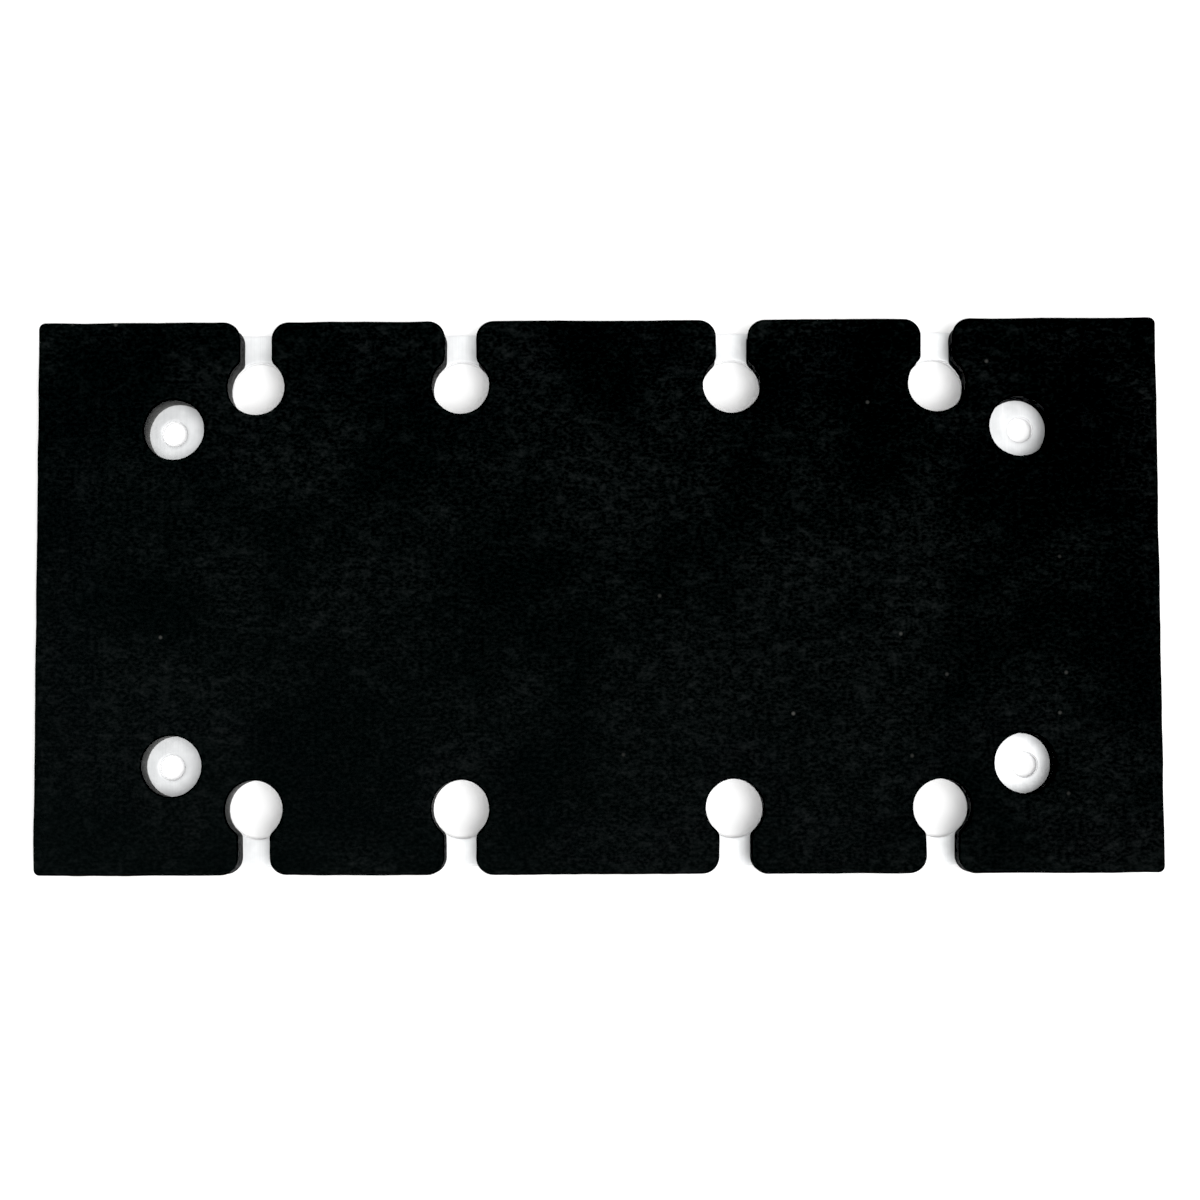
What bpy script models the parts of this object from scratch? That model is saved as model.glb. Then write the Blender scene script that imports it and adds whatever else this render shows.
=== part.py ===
"""Backing pad of a sheet-type finishing sander, lying on its base plate with the working face up.

A punched aluminium plate carries a die-cut stack: an adhesive film, a sponge cushion and a thin
face sheet. Eight keyhole notches let dust out through the plate and along to the long edges, and
four round wells give a screwdriver access to the screws that hold the pad to the sander.
X runs along the pad, Y across it, Z up through its layers. Units are metres.
"""

from math import acos, cos, pi, sin, sqrt

import bmesh
import bpy

MM = 0.001

# Driving dimensions
PAD_LENGTH = 185.0 * MM
PAD_WIDTH = 91.4 * MM
PAD_CORNER_RADIUS = 1.0 * MM
PLATE_INSET = 1.2 * MM  # how far the plate stays inside the cushion's outline, on every side
PLATE_CORNER_RADIUS = 1.5 * MM

PLATE_THICKNESS = 2.0 * MM
FILM_THICKNESS = 0.4 * MM
SPONGE_THICKNESS = 5.0 * MM
FACE_THICKNESS = 0.7 * MM
LAYER_GAP = 0.3 * MM  # free space between two layers that touch on the real pad

SCREW_SPACING = (141.8 * MM, 56.0 * MM)  # holes in the plate, along X and along Y
SCREW_HOLE_RADIUS = 2.15 * MM  # clearance for an M4 screw
WELL_SPACING = (140.0 * MM, 55.6 * MM)  # wells in the cushion, cut a little closer together
WELL_RADIUS = 5.05 * MM  # room for a screw head 8 mm across

DUST_COLUMNS_X = (22.5 * MM, 56.4 * MM)  # distance of each column from the middle
DUST_ROW_Y = 35.0 * MM
DUST_HOLE_RADIUS = 5.0 * MM  # punched in the plate
BULB_RADIUS = 4.8 * MM  # round end of the keyhole in the cushion
NECK_WIDTH = 5.3 * MM
MOUTH_RADIUS = 2.8 * MM  # rounding where the neck meets the long edge
THROAT_RADIUS = 1.4 * MM  # rounding where the neck meets the bulb

CORNER_SEGMENTS = 4
ARC_STEP = pi / 16  # angle between two points of an arc
CUTTER_OVERRUN = 3.0 * MM  # how far a cutter reaches past the faces it cuts


def clear_scene():
    for item in list(bpy.data.objects):
        bpy.data.objects.remove(item, do_unlink=True)


def material(name, colour, roughness, metallic):
    finish = bpy.data.materials.new(name)
    finish.use_nodes = True
    shader = finish.node_tree.nodes["Principled BSDF"]
    shader.inputs["Base Color"].default_value = (*colour, 1.0)
    shader.inputs["Roughness"].default_value = roughness
    shader.inputs["Metallic"].default_value = metallic
    return finish


def object_from(shape, name, collection):
    """Turns a bmesh into an object of that name."""
    mesh = bpy.data.meshes.new(name)
    shape.to_mesh(mesh)
    shape.free()
    made = bpy.data.objects.new(name, mesh)
    collection.objects.link(made)
    return made


def slab(name, length, width, radius, bottom, thickness, finish):
    """A flat rectangular layer with rounded upright corners, standing on the height `bottom`."""
    shape = bmesh.new()
    bmesh.ops.create_cube(shape, size=1.0)
    bmesh.ops.scale(shape, vec=(length, width, thickness), verts=shape.verts)
    bmesh.ops.translate(shape, vec=(0.0, 0.0, bottom + thickness / 2), verts=shape.verts)
    upright = [e for e in shape.edges if abs(e.verts[0].co.z - e.verts[1].co.z) > thickness / 2]
    bmesh.ops.bevel(
        shape, geom=upright, offset=radius, segments=CORNER_SEGMENTS,
        affect="EDGES", profile=0.5, material=-1,
    )
    layer = object_from(shape, name, bpy.context.scene.collection)
    layer.data.materials.append(finish)
    return layer


def arc(centre_x, centre_y, radius, start, end):
    """Points along an arc, both ends included; it turns whichever way the angles say."""
    steps = max(2, round(abs(end - start) / ARC_STEP))
    angles = [start + (end - start) * i / steps for i in range(steps + 1)]
    return [(centre_x + radius * cos(a), centre_y + radius * sin(a)) for a in angles]


def keyhole_outline():
    """Right half from the mouth down to the bottom of the bulb, then the same mirrored.

    The bulb's centre is the origin and the notch opens towards +Y.
    """
    half_neck = NECK_WIDTH / 2
    edge = PAD_WIDTH / 2 - DUST_ROW_Y
    throat_x = half_neck + THROAT_RADIUS
    throat_y = sqrt((BULB_RADIUS + THROAT_RADIUS) ** 2 - throat_x ** 2)
    throat_angle = acos(throat_x / (BULB_RADIUS + THROAT_RADIUS))
    right = [(half_neck + MOUTH_RADIUS, edge + CUTTER_OVERRUN)]
    right += arc(half_neck + MOUTH_RADIUS, edge - MOUTH_RADIUS, MOUTH_RADIUS, pi / 2, pi)
    right += arc(throat_x, throat_y, THROAT_RADIUS, pi, pi + throat_angle)
    right += arc(0.0, 0.0, BULB_RADIUS, throat_angle, -pi / 2)[1:]
    left = [(-x, y) for x, y in reversed(right[:-1])]
    return right + left


def cutter(shape, name, collection):
    """An object that only cuts others: it stays out of renders and shows as wire."""
    made = object_from(shape, name, collection)
    made.hide_render = True
    made.display_type = "WIRE"
    return made


def keyhole_cutter(name, place_x, side, collection, bottom, top):
    """Cuts one keyhole notch; side is +1 for the far long edge and -1 for the near one."""
    shape = bmesh.new()
    outline = [shape.verts.new((x, y, bottom)) for x, y in keyhole_outline()]
    base = shape.faces.new(outline)
    raised = bmesh.ops.extrude_face_region(shape, geom=[base])["geom"]
    lifted = [v for v in raised if isinstance(v, bmesh.types.BMVert)]
    bmesh.ops.translate(shape, vec=(0.0, 0.0, top - bottom), verts=lifted)
    bmesh.ops.recalc_face_normals(shape, faces=shape.faces)
    made = cutter(shape, name, collection)
    made.location = (place_x, side * DUST_ROW_Y, 0.0)
    made.rotation_euler = (0.0, 0.0, 0.0 if side > 0 else pi)


def round_cutter(name, radius, place_x, place_y, collection, bottom, top):
    shape = bmesh.new()
    bmesh.ops.create_cone(
        shape, cap_ends=True, segments=round(2 * pi / ARC_STEP),
        radius1=radius, radius2=radius, depth=top - bottom,
    )
    bmesh.ops.translate(shape, vec=(0.0, 0.0, (top + bottom) / 2), verts=shape.verts)
    made = cutter(shape, name, collection)
    made.location = (place_x, place_y, 0.0)


def new_cutters(name):
    group = bpy.data.collections.new(name)
    bpy.context.scene.collection.children.link(group)
    return group


def cut(layer, cutters):
    holes = layer.modifiers.new("punched_holes", "BOOLEAN")
    holes.operation = "DIFFERENCE"
    holes.solver = "EXACT"
    holes.operand_type = "COLLECTION"
    holes.collection = cutters
    layer.data.shade_smooth()
    layer.data.set_sharp_from_angle(angle=pi / 6)


def dust_places():
    """Every dust opening as (number, x, side)."""
    columns = [side * x for x in DUST_COLUMNS_X for side in (-1, 1)]
    places = [(x, side) for side in (-1, 1) for x in sorted(columns)]
    return [(number, x, side) for number, (x, side) in enumerate(places, start=1)]


def four_places(spacing):
    """The corners of a rectangle that is centred on the part, as (number, x, y)."""
    along_x, along_y = spacing
    places = [(sx * along_x / 2, sy * along_y / 2) for sy in (-1, 1) for sx in (-1, 1)]
    return [(number, x, y) for number, (x, y) in enumerate(places, start=1)]


def build_base_plate():
    plate = slab(
        "base_plate", PAD_LENGTH - 2 * PLATE_INSET, PAD_WIDTH - 2 * PLATE_INSET,
        PLATE_CORNER_RADIUS, 0.0, PLATE_THICKNESS,
        material("plate_aluminium", (0.80, 0.81, 0.82), 0.35, 1.0),
    )
    punches = new_cutters("plate_punches")
    reach = (-CUTTER_OVERRUN, PLATE_THICKNESS + CUTTER_OVERRUN)
    for number, x, side in dust_places():
        round_cutter(
            f"dust_punch_{number}", DUST_HOLE_RADIUS, x, side * DUST_ROW_Y, punches, *reach
        )
    for number, x, y in four_places(SCREW_SPACING):
        round_cutter(f"screw_punch_{number}", SCREW_HOLE_RADIUS, x, y, punches, *reach)
    cut(plate, punches)


def build_cushion_stack():
    """The three layers that one die cuts to the same outline, from the plate upwards."""
    layers = (
        ("adhesive_film", FILM_THICKNESS, material("film_acrylic", (0.75, 0.73, 0.66), 0.45, 0.0)),
        ("cushion_sponge", SPONGE_THICKNESS, material("sponge_rubber", (0.02, 0.02, 0.02), 0.9, 0.0)),
        ("face_sheet", FACE_THICKNESS, material("face_rubber", (0.012, 0.013, 0.013), 0.8, 0.0)),
    )
    die = new_cutters("die_cutters")
    top = PLATE_THICKNESS + sum(LAYER_GAP + thickness for _, thickness, _ in layers)
    reach = (PLATE_THICKNESS - CUTTER_OVERRUN, top + CUTTER_OVERRUN)
    for number, x, side in dust_places():
        keyhole_cutter(f"keyhole_die_{number}", x, side, die, *reach)
    for number, x, y in four_places(WELL_SPACING):
        round_cutter(f"well_die_{number}", WELL_RADIUS, x, y, die, *reach)

    bottom = PLATE_THICKNESS + LAYER_GAP
    for name, thickness, finish in layers:
        layer = slab(name, PAD_LENGTH, PAD_WIDTH, PAD_CORNER_RADIUS, bottom, thickness, finish)
        cut(layer, die)
        bottom += thickness + LAYER_GAP


clear_scene()
build_base_plate()
build_cushion_stack()
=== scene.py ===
"""Looks of a sheet sander's backing pad: punched aluminium plate, glue film, sponge and face skin."""

import math

import bmesh
import bpy
from mathutils import Euler, Matrix, Vector, noise


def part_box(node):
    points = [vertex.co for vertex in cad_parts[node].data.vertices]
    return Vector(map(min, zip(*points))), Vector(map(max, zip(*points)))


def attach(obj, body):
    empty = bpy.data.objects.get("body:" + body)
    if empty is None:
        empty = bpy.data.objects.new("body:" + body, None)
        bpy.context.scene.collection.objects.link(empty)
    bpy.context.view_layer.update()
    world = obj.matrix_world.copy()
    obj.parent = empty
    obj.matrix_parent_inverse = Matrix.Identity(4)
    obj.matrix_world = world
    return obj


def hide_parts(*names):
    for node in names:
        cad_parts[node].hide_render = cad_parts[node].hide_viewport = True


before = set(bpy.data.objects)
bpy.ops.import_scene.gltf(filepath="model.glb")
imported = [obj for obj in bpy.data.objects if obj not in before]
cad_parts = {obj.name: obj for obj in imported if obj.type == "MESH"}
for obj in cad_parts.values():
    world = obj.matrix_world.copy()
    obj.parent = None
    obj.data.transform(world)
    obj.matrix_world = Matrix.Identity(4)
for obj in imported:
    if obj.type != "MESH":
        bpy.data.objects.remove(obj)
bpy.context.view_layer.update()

MM = 0.001
MERGE_DISTANCE = 0.002 * MM

# Heights where the layers meet on the glued pad. The solids keep small gaps, which the pieces close.
GLUE_THICKNESS = 0.35 * MM
PLATE_LOW, PLATE_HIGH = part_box("base_plate")
SKIN_LOW, SKIN_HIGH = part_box("face_sheet")
SPONGE_LOW, SPONGE_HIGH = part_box("cushion_sponge")
PLATE_BACK = PLATE_LOW.z
PLATE_FRONT = PLATE_HIGH.z
GLUE_FRONT = PLATE_FRONT + GLUE_THICKNESS
SPONGE_FRONT = (SPONGE_HIGH.z + SKIN_LOW.z) / 2
WORKING_FACE = SKIN_HIGH.z

# The cut edge
CUT_STEP = 2.0 * MM  # longest stretch of cut edge between two points
SKIN_STEP = 0.7 * MM
SPONGE_STEP = 0.36 * MM  # fine enough for the sponge's open bubbles
WANDER_COARSE = 0.11 * MM  # how far the blade strayed, over each COARSE_LENGTH or so
COARSE_LENGTH = 7 * MM
WANDER_FINE = 0.03 * MM
FINE_LENGTH = 1.6 * MM
FINE_SHIFT = Vector((31, 7, 0))  # keeps the fine straying apart from the coarse one
FLAT_RING = 0.5 * MM  # level band inside a rounded rim, so that the wide face shades flat

# The sponge's bubbles
CELL_SPACING = 1.05 * MM
CELL_DEPTH = 0.15 * MM
CELL_SMALLEST = 0.22  # radius of the smallest bubble, as a share of the spacing
CELL_GROWTH = 0.4  # how much larger the largest one's is
CELL_MOUTH = 1.35  # a bubble's mouth is this many radii from its middle
CELL_PATCH = 1.9 * MM  # about how far it is from small bubbles to large ones

# Painted light on the walls of the openings, in a pale grey: it stands for the plate's reflection
# near the foot and for the lamp's light on the walls towards one end
WALL_LIGHT_START = 1 * MM  # no painted light lies nearer the pad's edge than this
WALL_LIGHT_FADE = 14 * MM  # from here inwards the walls are as pale as they get
WALL_LIGHT_END = 30 * MM  # past this place along the pad only the share given next remains
WALL_LIGHT_LEFT = 0.06
WALL_LIGHT_RISE = 1.6  # how quickly it thins out up the wall, as a power

# Torn part of a sheared or punched metal wall
TORN_SHARE = 0.42  # of the plate's thickness, from its back
TORN_RAGGED = 0.15 * MM  # how far the tear's edge strays
TORN_BLEND = 0.12 * MM  # how far the two parts run into each other

# Camera
VIEW_DISTANCE = 450 * MM
VIEW_TILT = math.radians(4.15)
VIEW_TURN = math.radians(0.61)
VIEW_ROLL = math.radians(-0.21)
VIEW_OFFSET = (0.53 * MM, -0.78 * MM)
VIEW_WIDTH = 197.5 * MM  # what the frame takes in across, at the working face
SENSOR_WIDTH = 36.0

# Light and floor
KEY_DISTANCE = 1.6
KEY_TILT = math.radians(14)
KEY_BEARING = math.radians(-30)
KEY_SIZE = 0.75
KEY_POWER = 19.5
SKY_STRENGTH = 1.06
BLACK_LEVEL = 0.0255  # a hard contrast: what is darker than this comes out black
FLOOR_SIZE = 12.0

# Colours: linear red, green and blue
# The skin's first two tones carry painted light: the face goes from the darker one at its high-X,
# high-Y corner to the paler one towards its low-X end and low-Y side.
SKIN_DARKER_END = (0.0062, 0.0063, 0.0063)
SKIN_PAINTED_LIGHT = (0.0084, 0.0090, 0.0090)
SKIN_MOTTLE = (0.0145, 0.0156, 0.0156)
LINT = (0.054, 0.054, 0.051)
SKIN_CUT_DARK = (0.006, 0.006, 0.006)
SKIN_CUT_PALE = (0.016, 0.0165, 0.0165)
SPONGE_DARK = (0.008, 0.008, 0.0085)
SPONGE_PALE = (0.048, 0.049, 0.05)
# painted light on the openings' walls
WALL_PAINTED_LIGHT = (0.26, 0.26, 0.255)
HONEY = (0.42, 0.36, 0.25)
DIRTY_HONEY = (0.14, 0.13, 0.10)
SHEET_DULL = (0.59, 0.6, 0.605)
SHEET_BRIGHT = (0.725, 0.73, 0.735)
SCUFF = (0.74, 0.74, 0.74)
# Painted light: the hole walls' smooth and torn tones are raised to stand in for the floor's bounce
# light. The outer edge's two tones are made far darker than the same metal in the holes, so that it
# reads against the bright floor. The smooth band being brighter than the torn one is the metal's own.
HOLE_BAND_LIT = (0.93, 0.93, 0.935)
HOLE_TORN_LIT = (0.84, 0.84, 0.845)
EDGE_BAND_DARKENED = (0.46, 0.465, 0.47)
EDGE_TORN_DARKENED = (0.25, 0.25, 0.255)
PAPER_DARK = (0.935, 0.935, 0.935)
PAPER_PALE = (0.945, 0.945, 0.945)


# ---------------------------------------------------------------- shapes

def upright(face):
    """True for a wall, false for a level face."""
    return abs(face.normal.z) < 0.5


def cut_walls(node, bottom, top, step=CUT_STEP):
    """The walls of one layer's solid between two heights, as a strip that is open at both ends.

    Each point keeps the level direction that leads out of the material in the layer "outwards".
    """
    shape = bmesh.new()
    shape.from_mesh(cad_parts[node].data)
    bmesh.ops.remove_doubles(shape, verts=shape.verts, dist=MERGE_DISTANCE)
    flat = [f for f in shape.faces if not upright(f)]
    bmesh.ops.delete(shape, geom=flat, context="FACES")
    bmesh.ops.dissolve_limit(
        shape, angle_limit=math.radians(1), verts=shape.verts, edges=shape.edges
    )
    middle = (min(v.co.z for v in shape.verts) + max(v.co.z for v in shape.verts)) / 2
    for vert in shape.verts:
        vert.co.z = top if vert.co.z > middle else bottom
    split_long_edges(shape, step)
    mark_outwards(shape)
    return shape


def split_long_edges(shape, step):
    """Splits the rims so that no stretch between two points is longer than the step."""
    by_cuts = {}
    for edge in shape.edges:
        if edge.is_boundary:
            cuts = math.ceil(edge.calc_length() / step) - 1
            by_cuts.setdefault(cuts, []).append(edge)
    for cuts, edges in sorted(by_cuts.items()):
        if cuts > 0:
            bmesh.ops.subdivide_edges(shape, edges=edges, cuts=cuts, use_grid_fill=True)


def mark_outwards(shape):
    """Keeps each point's way out, lengthened at corners so that a shift keeps walls parallel."""
    sharpest = 0.5  # the least cosine that is made up for
    shape.normal_update()
    outwards = shape.verts.layers.float_vector.new("outwards")
    for vert in shape.verts:
        walls = [face.normal for face in vert.link_faces]
        total = sum(walls, Vector((0, 0, 0)))
        total.z = 0
        total.normalize()
        vert[outwards] = total / max(sharpest, min(total.dot(wall) for wall in walls))


def slice_walls(shape, bottom, top, rows):
    """Cuts the walls between two heights into level rows."""
    for row in range(1, rows):
        bmesh.ops.bisect_plane(
            shape, geom=shape.verts[:] + shape.edges[:] + shape.faces[:],
            plane_co=(0, 0, bottom + (top - bottom) * row / rows), plane_no=(0, 0, 1),
            dist=MERGE_DISTANCE,
        )


def push_walls(shape, amount):
    """Moves each point out of the material by amount(point)."""
    outwards = shape.verts.layers.float_vector["outwards"]
    for vert in shape.verts:
        vert.co += vert[outwards] * amount(vert)


def wander(place):
    """How far the cut strays at a place; every layer cut by the die strays alike."""
    flat = Vector((place.x, place.y, 0))
    return (
        WANDER_COARSE * noise.noise(flat / COARSE_LENGTH)
        + WANDER_FINE * noise.noise(flat / FINE_LENGTH + FINE_SHIFT)
    )


def open_cells(place):
    """How deep the die's cut lies in a bubble of the sponge at a place, from 0 to 1."""
    from_middle = noise.voronoi(place / CELL_SPACING)[0][0]
    size = 0.5 + 0.5 * noise.noise(place / CELL_PATCH)
    radius = CELL_SMALLEST + CELL_GROWTH * size
    return max(0.0, min(1.0, CELL_MOUTH - from_middle / radius))


def open_rim(shape, height):
    """The open edges that lie at a height."""
    return [
        e for e in shape.edges
        if e.is_boundary and all(abs(v.co.z - height) < MERGE_DISTANCE for v in e.verts)
    ]


def turn_in(shape, rim, steps):
    """Carries an open rim inwards over (inward, upward) steps and returns the last rim."""
    outwards = shape.verts.layers.float_vector["outwards"]
    for inward, upward in steps:
        made = bmesh.ops.extrude_edge_only(shape, edges=rim)["geom"]
        tips = {item for item in made if isinstance(item, bmesh.types.BMVert)}
        for vert in tips:
            vert.co -= vert[outwards] * inward
            vert.co.z += upward
        edges = (item for item in made if isinstance(item, bmesh.types.BMEdge))
        rim = [edge for edge in edges if tips.issuperset(edge.verts)]
    return rim


def quarter_round(radius, segments, upward):
    """Steps of a quarter circle from a wall onto the level face above (1) or below it (-1)."""
    points = [
        (radius * (1 - math.cos(angle)), radius * math.sin(angle))
        for angle in (math.pi / 2 * i / segments for i in range(segments + 1))
    ]
    return [
        (later[0] - earlier[0], upward * (later[1] - earlier[1]))
        for earlier, later in zip(points, points[1:])
    ]


def close_flat(shape, rim):
    """Fills the level face inside a rim, leaving its holes open."""
    bmesh.ops.triangle_fill(shape, use_beauty=True, use_dissolve=False, edges=rim)


def finished(shape, name, finishes):
    """Turns the bmesh into the piece, with smooth walls and crisp corners."""
    bmesh.ops.recalc_face_normals(shape, faces=shape.faces)
    mesh = bpy.data.meshes.new(name)
    shape.to_mesh(mesh)
    shape.free()
    for finish in finishes:
        mesh.materials.append(finish)
    if "outwards" in mesh.attributes:
        mesh.attributes.remove(mesh.attributes["outwards"])
    mesh.shade_smooth()
    mesh.set_sharp_from_angle(angle=math.radians(50))
    piece = bpy.data.objects.new(name, mesh)
    bpy.context.scene.collection.objects.link(piece)
    return piece


def stands_for(piece, node):
    """The piece takes one solid's place, and rides the same body."""
    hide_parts(node)
    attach(piece, "root")


# ---------------------------------------------------------------- finishes

def new_finish(name, metallic=0.0, specular=0.5):
    """A material, its tree and its shader, which still needs what paint gives it."""
    finish = bpy.data.materials.new(name)
    finish.use_nodes = True
    shader = finish.node_tree.nodes["Principled BSDF"]
    shader.inputs["Metallic"].default_value = metallic
    shader.inputs["Specular IOR Level"].default_value = specular
    return finish, finish.node_tree, shader


def feed(tree, socket, value):
    """Gives a socket its value: a number, a colour as a triple, or another node's output."""
    if isinstance(value, bpy.types.NodeSocket):
        tree.links.new(value, socket)
    elif isinstance(value, tuple):
        socket.default_value = (*value, 1.0)
    else:
        socket.default_value = value


def paint(tree, shader, colour, roughness):
    feed(tree, shader.inputs["Base Color"], colour)
    feed(tree, shader.inputs["Roughness"], roughness)


def coordinates(tree, stretch=(1, 1, 1)):
    """Places on the object in metres, times the stretch along each axis."""
    source = tree.nodes.new("ShaderNodeTexCoord")
    mapping = tree.nodes.new("ShaderNodeMapping")
    mapping.inputs["Scale"].default_value = stretch
    tree.links.new(source.outputs["Object"], mapping.inputs["Vector"])
    return mapping.outputs["Vector"]


def places(tree):
    """Where each point lies on the object: the outputs "X", "Y" and "Z", in metres."""
    axes = tree.nodes.new("ShaderNodeSeparateXYZ")
    tree.links.new(coordinates(tree), axes.inputs["Vector"])
    return axes.outputs


def grain(tree, size, detail=2.0, stretch=(1, 1, 1), roughness=0.5):
    """Cloudy noise whose lumps are about `size` metres across; a stretch under 1 draws them out."""
    texture = tree.nodes.new("ShaderNodeTexNoise")
    texture.inputs["Scale"].default_value = 1 / size
    texture.inputs["Detail"].default_value = detail
    texture.inputs["Roughness"].default_value = roughness
    tree.links.new(coordinates(tree, stretch), texture.inputs["Vector"])
    return texture.outputs["Fac"]


def cells(tree, size, output="Distance", dimensions="3D"):
    """Cells about `size` metres across; in 2D they lie in the pad's plane."""
    texture = tree.nodes.new("ShaderNodeTexVoronoi")
    texture.voronoi_dimensions = dimensions
    texture.inputs["Scale"].default_value = 1 / size
    tree.links.new(coordinates(tree), texture.inputs["Vector"])
    return texture.outputs[output]


def stored(tree, name):
    """A value that the piece's mesh keeps at each point."""
    attribute = tree.nodes.new("ShaderNodeAttribute")
    attribute.attribute_name = name
    return attribute.outputs["Fac"]


def spread(tree, value, low, high, to_low=0.0, to_high=1.0):
    """Maps low..high to to_low..to_high and holds it at the ends."""
    mapped = tree.nodes.new("ShaderNodeMapRange")
    mapped.inputs["From Min"].default_value = low
    mapped.inputs["From Max"].default_value = high
    mapped.inputs["To Min"].default_value = to_low
    mapped.inputs["To Max"].default_value = to_high
    feed(tree, mapped.inputs["Value"], value)
    return mapped.outputs["Result"]


def combine(tree, operation, first, second):
    """A sum, product and so on of two values, either of which may be a number."""
    node = tree.nodes.new("ShaderNodeMath")
    node.operation = operation
    feed(tree, node.inputs[0], first)
    feed(tree, node.inputs[1], second)
    return node.outputs["Value"]


def blend_colours(tree, share, first, second):
    """first where share is 0 and second where it is 1; a colour is a triple or a socket."""
    colour_a, colour_b, colour_result = 6, 7, 2  # the node has sockets for other kinds too
    node = tree.nodes.new("ShaderNodeMix")
    node.data_type = "RGBA"
    feed(tree, node.inputs["Factor"], share)
    feed(tree, node.inputs[colour_a], first)
    feed(tree, node.inputs[colour_b], second)
    return node.outputs[colour_result]


def raise_surface(tree, shader, heights):
    """Chains bumps; heights is a list of (height socket, strength, distance in metres)."""
    normal = None
    for height, strength, distance in heights:
        bump = tree.nodes.new("ShaderNodeBump")
        bump.inputs["Strength"].default_value = strength
        bump.inputs["Distance"].default_value = distance
        tree.links.new(height, bump.inputs["Height"])
        if normal:
            tree.links.new(normal, bump.inputs["Normal"])
        normal = bump.outputs["Normal"]
    tree.links.new(normal, shader.inputs["Normal"])


def face_skin_finish():
    """Dense black rubber skin: soft mottle drawn out along the pad, pebble and lint, with painted
    light that makes it paler towards its low-X end and low-Y side.
    """
    finish, tree, shader = new_finish("black_face_rubber", specular=0.14)
    mottle = grain(tree, 1.35 * MM, detail=3, stretch=(0.66, 1, 1), roughness=0.55)
    broad = grain(tree, 16 * MM, detail=3)
    blotches = combine(tree, "POWER", spread(tree, mottle, 0.43, 0.72, to_high=0.75), 1.3)
    fine = spread(tree, grain(tree, 0.5 * MM, stretch=(0.7, 1, 1)), 0.42, 0.75, to_high=0.5)
    dusty = spread(tree, broad, 0.38, 0.62, to_low=0.5)
    tone = combine(tree, "MULTIPLY", combine(tree, "ADD", blotches, fine), dusty)
    place = places(tree)
    # painted light: the skin is paler towards the low-X end and the low-Y side
    painted_light_share = combine(
        tree, "ADD",
        spread(tree, place["X"], SKIN_HIGH.x, SKIN_LOW.x, to_high=0.6),
        spread(tree, place["Y"], SKIN_HIGH.y, SKIN_LOW.y, to_high=0.4),
    )
    plain = blend_colours(tree, painted_light_share, SKIN_DARKER_END, SKIN_PAINTED_LIGHT)
    rubber = blend_colours(tree, tone, plain, SKIN_MOTTLE)
    lint_spacing = 6.5 * MM
    chosen = spread(tree, cells(tree, lint_spacing, output="Color", dimensions="2D"), 0.84, 0.97)
    near = spread(tree, cells(tree, lint_spacing, dimensions="2D"), 0.06, 0.02)
    lint = combine(tree, "MULTIPLY", chosen, near)
    paint(
        tree, shader,
        colour=blend_colours(tree, lint, rubber, LINT),
        roughness=spread(tree, mottle, 0.3, 0.7, 0.76, 0.88),
    )
    pebble = grain(tree, 0.28 * MM, detail=3)
    streaks = grain(tree, 0.9 * MM, stretch=(0.06, 1, 1))
    raise_surface(tree, shader, [
        (broad, 0.25, 0.6 * MM),
        (streaks, 0.25, 0.08 * MM),
        (pebble, 0.6, 0.05 * MM),
        (lint, 0.5, 0.1 * MM),
    ])
    return finish


def cut_rubber_finish():
    """The face skin's own cut edge: matt, with the blade's drag lines down it."""
    finish, tree, shader = new_finish("cut_face_rubber", specular=0.03)
    drag = grain(tree, 0.35 * MM, detail=3, stretch=(1, 1, 0.1))
    paint(tree, shader, blend_colours(tree, drag, SKIN_CUT_DARK, SKIN_CUT_PALE), roughness=0.95)
    raise_surface(tree, shader, [(drag, 0.5, 0.06 * MM)])
    return finish


def painted_wall_light(tree):
    """Painted light on the openings' walls, in a pale grey: most of it at one end and at the foot,
    standing in for the lamp's light and the plate's reflection.
    """
    place = places(tree)
    depth = spread(tree, place["Z"], SPONGE_FRONT, GLUE_FRONT)
    end = spread(tree, place["X"], WALL_LIGHT_END, SPONGE_LOW.x, WALL_LIGHT_LEFT, 1.0)
    share = combine(tree, "MULTIPLY", combine(tree, "POWER", depth, WALL_LIGHT_RISE), end)
    for axis, edge in (("X", SPONGE_HIGH.x), ("Y", SPONGE_HIGH.y)):
        distance = combine(tree, "ABSOLUTE", place[axis], 0.0)
        inside = spread(tree, distance, edge - WALL_LIGHT_START, edge - WALL_LIGHT_FADE)
        share = combine(tree, "MULTIPLY", share, inside)
    return share


def sponge_finish():
    """Closed-cell sponge rubber: the die has cut its bubbles open on the walls."""
    finish, tree, shader = new_finish("black_sponge_rubber", specular=0.08)
    bubbles = stored(tree, "open_cells")
    small = spread(tree, cells(tree, 0.4 * MM), 0.1, 0.55)
    # painted shade: the sponge is darker inside its open bubbles and paler between them
    between = combine(tree, "SUBTRACT", small, combine(tree, "MULTIPLY", bubbles, 0.7))
    patches = spread(tree, grain(tree, 5 * MM, detail=3), 0.3, 0.7, to_low=0.6)
    lit = combine(tree, "MULTIPLY", spread(tree, between, 0.0, 1.0), patches)
    rubber = blend_colours(tree, lit, SPONGE_DARK, SPONGE_PALE)
    # painted light: the walls are paler at the foot and towards one end
    wall_light_share = combine(tree, "MULTIPLY", painted_wall_light(tree), patches)
    paint(
        tree, shader,
        colour=blend_colours(tree, wall_light_share, rubber, WALL_PAINTED_LIGHT),
        roughness=spread(tree, bubbles, 0.0, 1.0, 0.68, 0.92),
    )
    drag = grain(tree, 0.7 * MM, stretch=(1, 1, 0.12))
    raise_surface(tree, shader, [(drag, 0.3, 0.12 * MM), (small, 0.7, 0.12 * MM)])
    return finish


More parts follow.
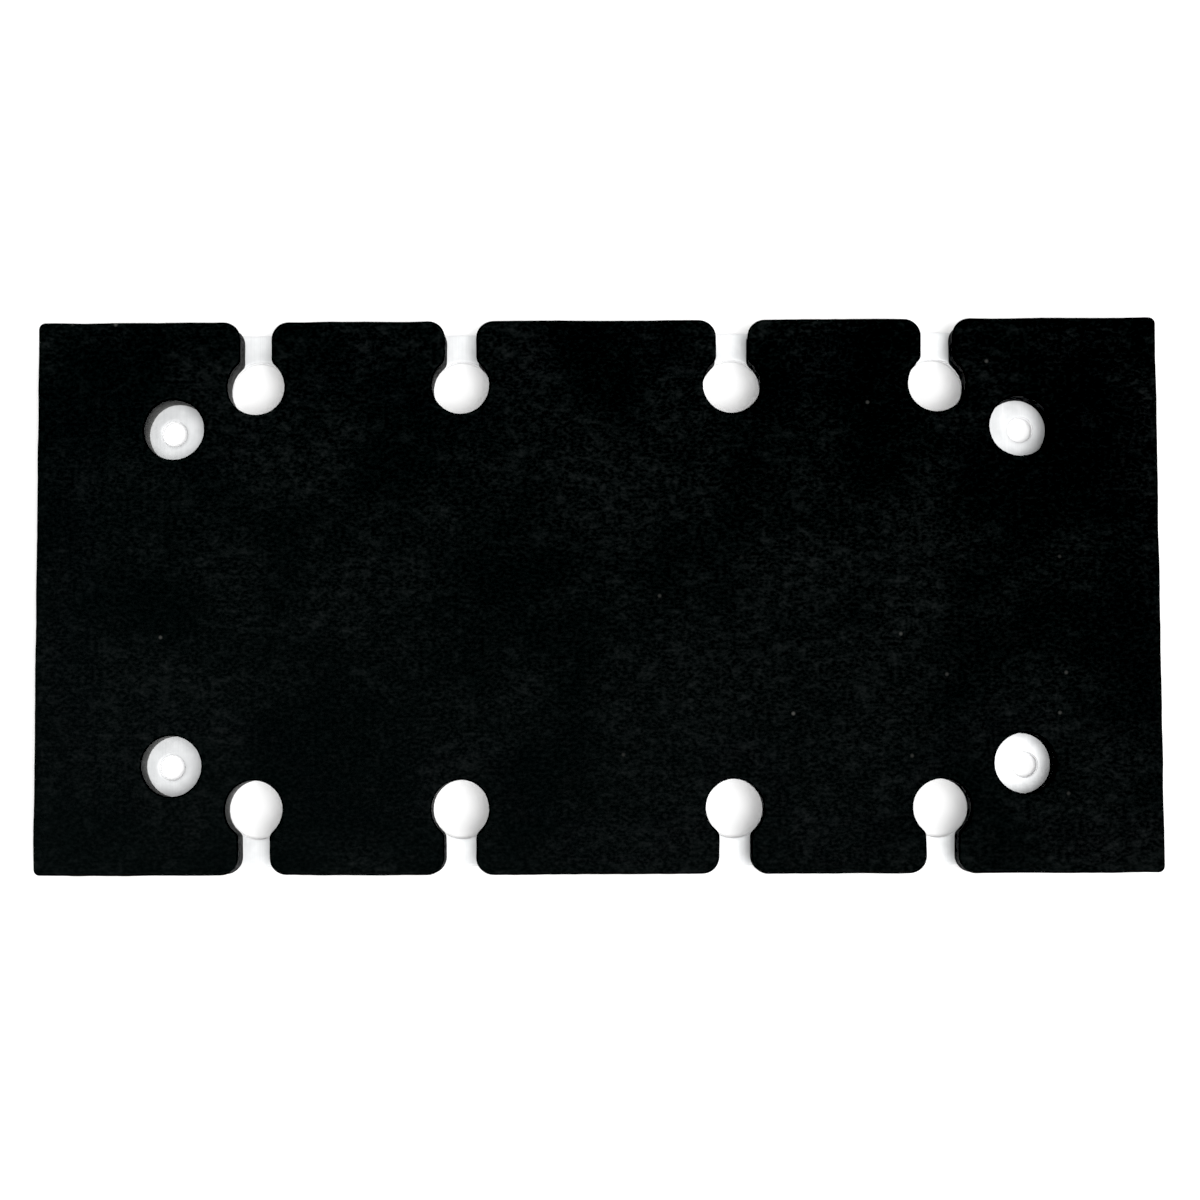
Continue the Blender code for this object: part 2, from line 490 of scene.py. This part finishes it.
def glue_finish():
    """Honey-coloured acrylic glue film with trapped bubbles and dirt at its edge."""
    finish, tree, shader = new_finish("honey_acrylic_glue")
    cloud = grain(tree, 2.5 * MM, detail=4)
    dirt = spread(tree, cloud, 0.45, 0.72)
    paint(
        tree, shader,
        colour=blend_colours(tree, dirt, HONEY, DIRTY_HONEY),
        roughness=spread(tree, cloud, 0.3, 0.7, 0.3, 0.6),
    )
    bubbles = cells(tree, 0.6 * MM)
    raise_surface(tree, shader, [(bubbles, 0.4, 0.08 * MM)])
    return finish


def rolled_aluminium_finish():
    """Rolled sheet: fine lines across the pad, handling scuffs, dull patches and stains."""
    finish, tree, shader = new_finish("rolled_aluminium", metallic=1.0)
    lines = grain(tree, 0.16 * MM, detail=3, stretch=(1, 0.012, 1), roughness=0.7)
    clouds = grain(tree, 11 * MM, detail=5, roughness=0.6)
    scuffs = grain(tree, 0.5 * MM, detail=4, stretch=(1, 0.05, 1), roughness=0.75)
    stains = grain(tree, 1.6 * MM, detail=3)
    worn = spread(tree, scuffs, 0.62, 0.74)
    fine = combine(
        tree, "ADD",
        spread(tree, lines, 0.3, 0.7, to_high=0.35),
        spread(tree, stains, 0.35, 0.65, to_high=0.35),
    )
    tone = combine(tree, "ADD", fine, spread(tree, clouds, 0.3, 0.7, to_high=0.3))
    sheet = blend_colours(tree, tone, SHEET_DULL, SHEET_BRIGHT)
    paint(
        tree, shader,
        colour=blend_colours(tree, combine(tree, "MULTIPLY", worn, 0.35), sheet, SCUFF),
        roughness=combine(
            tree, "SUBTRACT",
            spread(tree, clouds, 0.3, 0.7, 0.56, 0.7),
            combine(tree, "MULTIPLY", worn, 0.15),
        ),
    )
    raise_surface(tree, shader, [
        (clouds, 0.15, 0.3 * MM),
        (lines, 0.35, 0.02 * MM),
        (worn, 0.2, 0.01 * MM),
    ])
    return finish


def sheared_wall_finish(name, bright, torn_tone):
    """A wall that a punch or a shear left: a bright smooth band above a torn, duller one."""
    finish, tree, shader = new_finish(name, metallic=1.0)
    ragged = combine(
        tree, "ADD", places(tree)["Z"],
        spread(tree, grain(tree, 1.5 * MM, detail=3), 0.3, 0.7, -TORN_RAGGED, TORN_RAGGED),
    )
    middle = PLATE_BACK + (PLATE_FRONT - PLATE_BACK) * TORN_SHARE
    torn = spread(tree, ragged, middle + TORN_BLEND, middle - TORN_BLEND)
    paint(
        tree, shader,
        colour=blend_colours(tree, torn, bright, torn_tone),
        roughness=spread(tree, torn, 0.0, 1.0, 0.38, 0.7),
    )
    drag_lines = grain(tree, 0.2 * MM, stretch=(1, 1, 0.04))
    tears = grain(tree, 0.25 * MM, detail=4)
    torn_relief = combine(tree, "MULTIPLY", tears, torn)
    raise_surface(tree, shader, [(drag_lines, 0.35, 0.04 * MM), (torn_relief, 0.8, 0.12 * MM)])
    return finish


def floor_finish():
    finish, tree, shader = new_finish("white_paper_floor", specular=0.1)
    paper = grain(tree, 1.5 * MM, detail=3)
    paint(tree, shader, blend_colours(tree, paper, PAPER_DARK, PAPER_PALE), roughness=0.9)
    return finish


# ---------------------------------------------------------------- pieces

def close_both(shape, bottom, bottom_steps, top, top_steps):
    """Turns both rims in over their steps and fills the two level faces."""
    low = turn_in(shape, open_rim(shape, bottom), bottom_steps)
    high = turn_in(shape, open_rim(shape, top), top_steps)
    close_flat(shape, low)
    close_flat(shape, high)


def on_plate_rim(place):
    """True on the plate's outer edge, false in its holes."""
    reach = 0.6 * MM
    return abs(place.x) > PLATE_HIGH.x - reach or abs(place.y) > PLATE_HIGH.y - reach


def make_punched_plate():
    """The metal plate: its holes and its edge are rounded a little more at the back."""
    back_round = 0.15 * MM
    front_round = 0.05 * MM
    bottom = PLATE_BACK + back_round
    top = PLATE_FRONT - front_round
    sheet, hole_wall, outer_edge = range(3)  # the finishes' places in the list below
    shape = cut_walls("base_plate", bottom, top)
    slice_walls(shape, bottom, top, rows=4)
    walls = {
        face: outer_edge if on_plate_rim(face.calc_center_median()) else hole_wall
        for face in shape.faces
    }
    close_both(
        shape,
        bottom, quarter_round(back_round, segments=3, upward=-1) + [(FLAT_RING, 0)],
        top, quarter_round(front_round, segments=3, upward=1) + [(FLAT_RING, 0)],
    )
    for face in shape.faces:
        face.material_index = walls.get(face, sheet)
    plate = finished(shape, "punched_plate", [
        rolled_aluminium_finish(),
        sheared_wall_finish("punched_hole_wall", HOLE_BAND_LIT, HOLE_TORN_LIT),
        sheared_wall_finish("sheared_plate_edge", EDGE_BAND_DARKENED, EDGE_TORN_DARKENED),
    ])
    stands_for(plate, "base_plate")


def make_glue_film():
    """The glue line: it stays back from the cut and strays more than the blade did."""
    recess = 0.16 * MM
    unevenness = 2
    shape = cut_walls("adhesive_film", PLATE_FRONT, GLUE_FRONT)
    push_walls(shape, lambda vert: wander(vert.co) * unevenness - recess)
    close_both(shape, PLATE_FRONT, [], GLUE_FRONT, [])
    film = finished(shape, "glue_film", [glue_finish()])
    stands_for(film, "adhesive_film")


def make_sponge():
    """The cushion: its walls are drawn in halfway up and have bubbles cut open."""
    rows = 17
    dish = 0.3 * MM
    fade = 12  # how steeply the bubbles fade out towards the sponge's two faces
    depth = SPONGE_FRONT - GLUE_FRONT
    shape = cut_walls("cushion_sponge", GLUE_FRONT, SPONGE_FRONT, SPONGE_STEP)
    slice_walls(shape, GLUE_FRONT, SPONGE_FRONT, rows)
    bubbles = shape.verts.layers.float.new("open_cells")
    for vert in shape.verts:
        share = (vert.co.z - GLUE_FRONT) / depth
        vert[bubbles] = open_cells(vert.co) * min(1.0, fade * share * (1 - share))

    def pull_in(vert):
        share = (vert.co.z - GLUE_FRONT) / depth
        return wander(vert.co) - dish * 4 * share * (1 - share) - CELL_DEPTH * vert[bubbles]

    push_walls(shape, pull_in)
    close_both(shape, GLUE_FRONT, [], SPONGE_FRONT, [])
    sponge = finished(shape, "sponge_block", [sponge_finish()])
    stands_for(sponge, "cushion_sponge")


def make_face_skin():
    """The working face: a thin skin with soft upper rims that stands a little past the sponge."""
    lower_round = 0.1 * MM
    upper_round = 0.3 * MM
    overhang = 0.04 * MM
    bottom = SPONGE_FRONT + lower_round
    top = WORKING_FACE - upper_round
    level, cut = range(2)  # the finishes' places in the list below
    shape = cut_walls("face_sheet", bottom, top, SKIN_STEP)
    push_walls(shape, lambda vert: wander(vert.co) + overhang)
    walls = set(shape.faces)
    close_both(
        shape,
        bottom, quarter_round(lower_round, segments=2, upward=-1),
        top, quarter_round(upper_round, segments=4, upward=1) + [(FLAT_RING, 0)],
    )
    for face in shape.faces:
        face.material_index = cut if face in walls else level
    skin = finished(shape, "face_skin", [face_skin_finish(), cut_rubber_finish()])
    stands_for(skin, "face_sheet")


# ---------------------------------------------------------------- setting

def make_floor():
    shape = bmesh.new()
    bmesh.ops.create_grid(shape, x_segments=1, y_segments=1, size=FLOOR_SIZE / 2)
    bmesh.ops.translate(shape, vec=(0, 0, PLATE_BACK), verts=shape.verts)
    finished(shape, "floor", [floor_finish()])


def make_camera():
    """A long lens that looks almost straight down on the working face."""
    turned = Euler((VIEW_TILT, VIEW_TURN, 0)).to_matrix() @ Matrix.Rotation(VIEW_ROLL, 3, "Z")
    centre = Vector((0, 0, WORKING_FACE))
    lens = bpy.data.cameras.new("camera")
    lens.sensor_width = SENSOR_WIDTH
    lens.lens = SENSOR_WIDTH * VIEW_DISTANCE / VIEW_WIDTH
    camera = bpy.data.objects.new("camera", lens)
    camera.location = centre + turned @ Vector((*VIEW_OFFSET, VIEW_DISTANCE))
    camera.rotation_euler = turned.to_euler()
    bpy.context.scene.collection.objects.link(camera)
    bpy.context.scene.camera = camera


def make_key():
    """A large lamp high on one side."""
    lamp = bpy.data.lights.new("key", "AREA")
    lamp.shape = "DISK"
    lamp.size = KEY_SIZE
    lamp.energy = KEY_POWER
    key = bpy.data.objects.new("key", lamp)
    towards = Vector((
        math.sin(KEY_TILT) * math.cos(KEY_BEARING),
        math.sin(KEY_TILT) * math.sin(KEY_BEARING),
        math.cos(KEY_TILT),
    ))
    key.location = towards * KEY_DISTANCE
    key.rotation_euler = towards.to_track_quat("Z", "Y").to_euler()
    key.visible_camera = False
    bpy.context.scene.collection.objects.link(key)


def make_sky():
    sky = bpy.data.worlds.new("sky")
    sky.use_nodes = True
    background = sky.node_tree.nodes["Background"]
    background.inputs["Color"].default_value = (1.0, 1.0, 1.0, 1.0)
    background.inputs["Strength"].default_value = SKY_STRENGTH
    bpy.context.scene.world = sky


def set_contrast():
    contrast = bpy.context.scene.view_settings
    contrast.view_transform = "Standard"
    contrast.use_curve_mapping = True
    contrast.curve_mapping.black_level = (BLACK_LEVEL,) * 3
    contrast.curve_mapping.update()


make_camera()
make_key()
make_sky()
set_contrast()
make_floor()
make_punched_plate()
make_glue_film()
make_sponge()
make_face_skin()
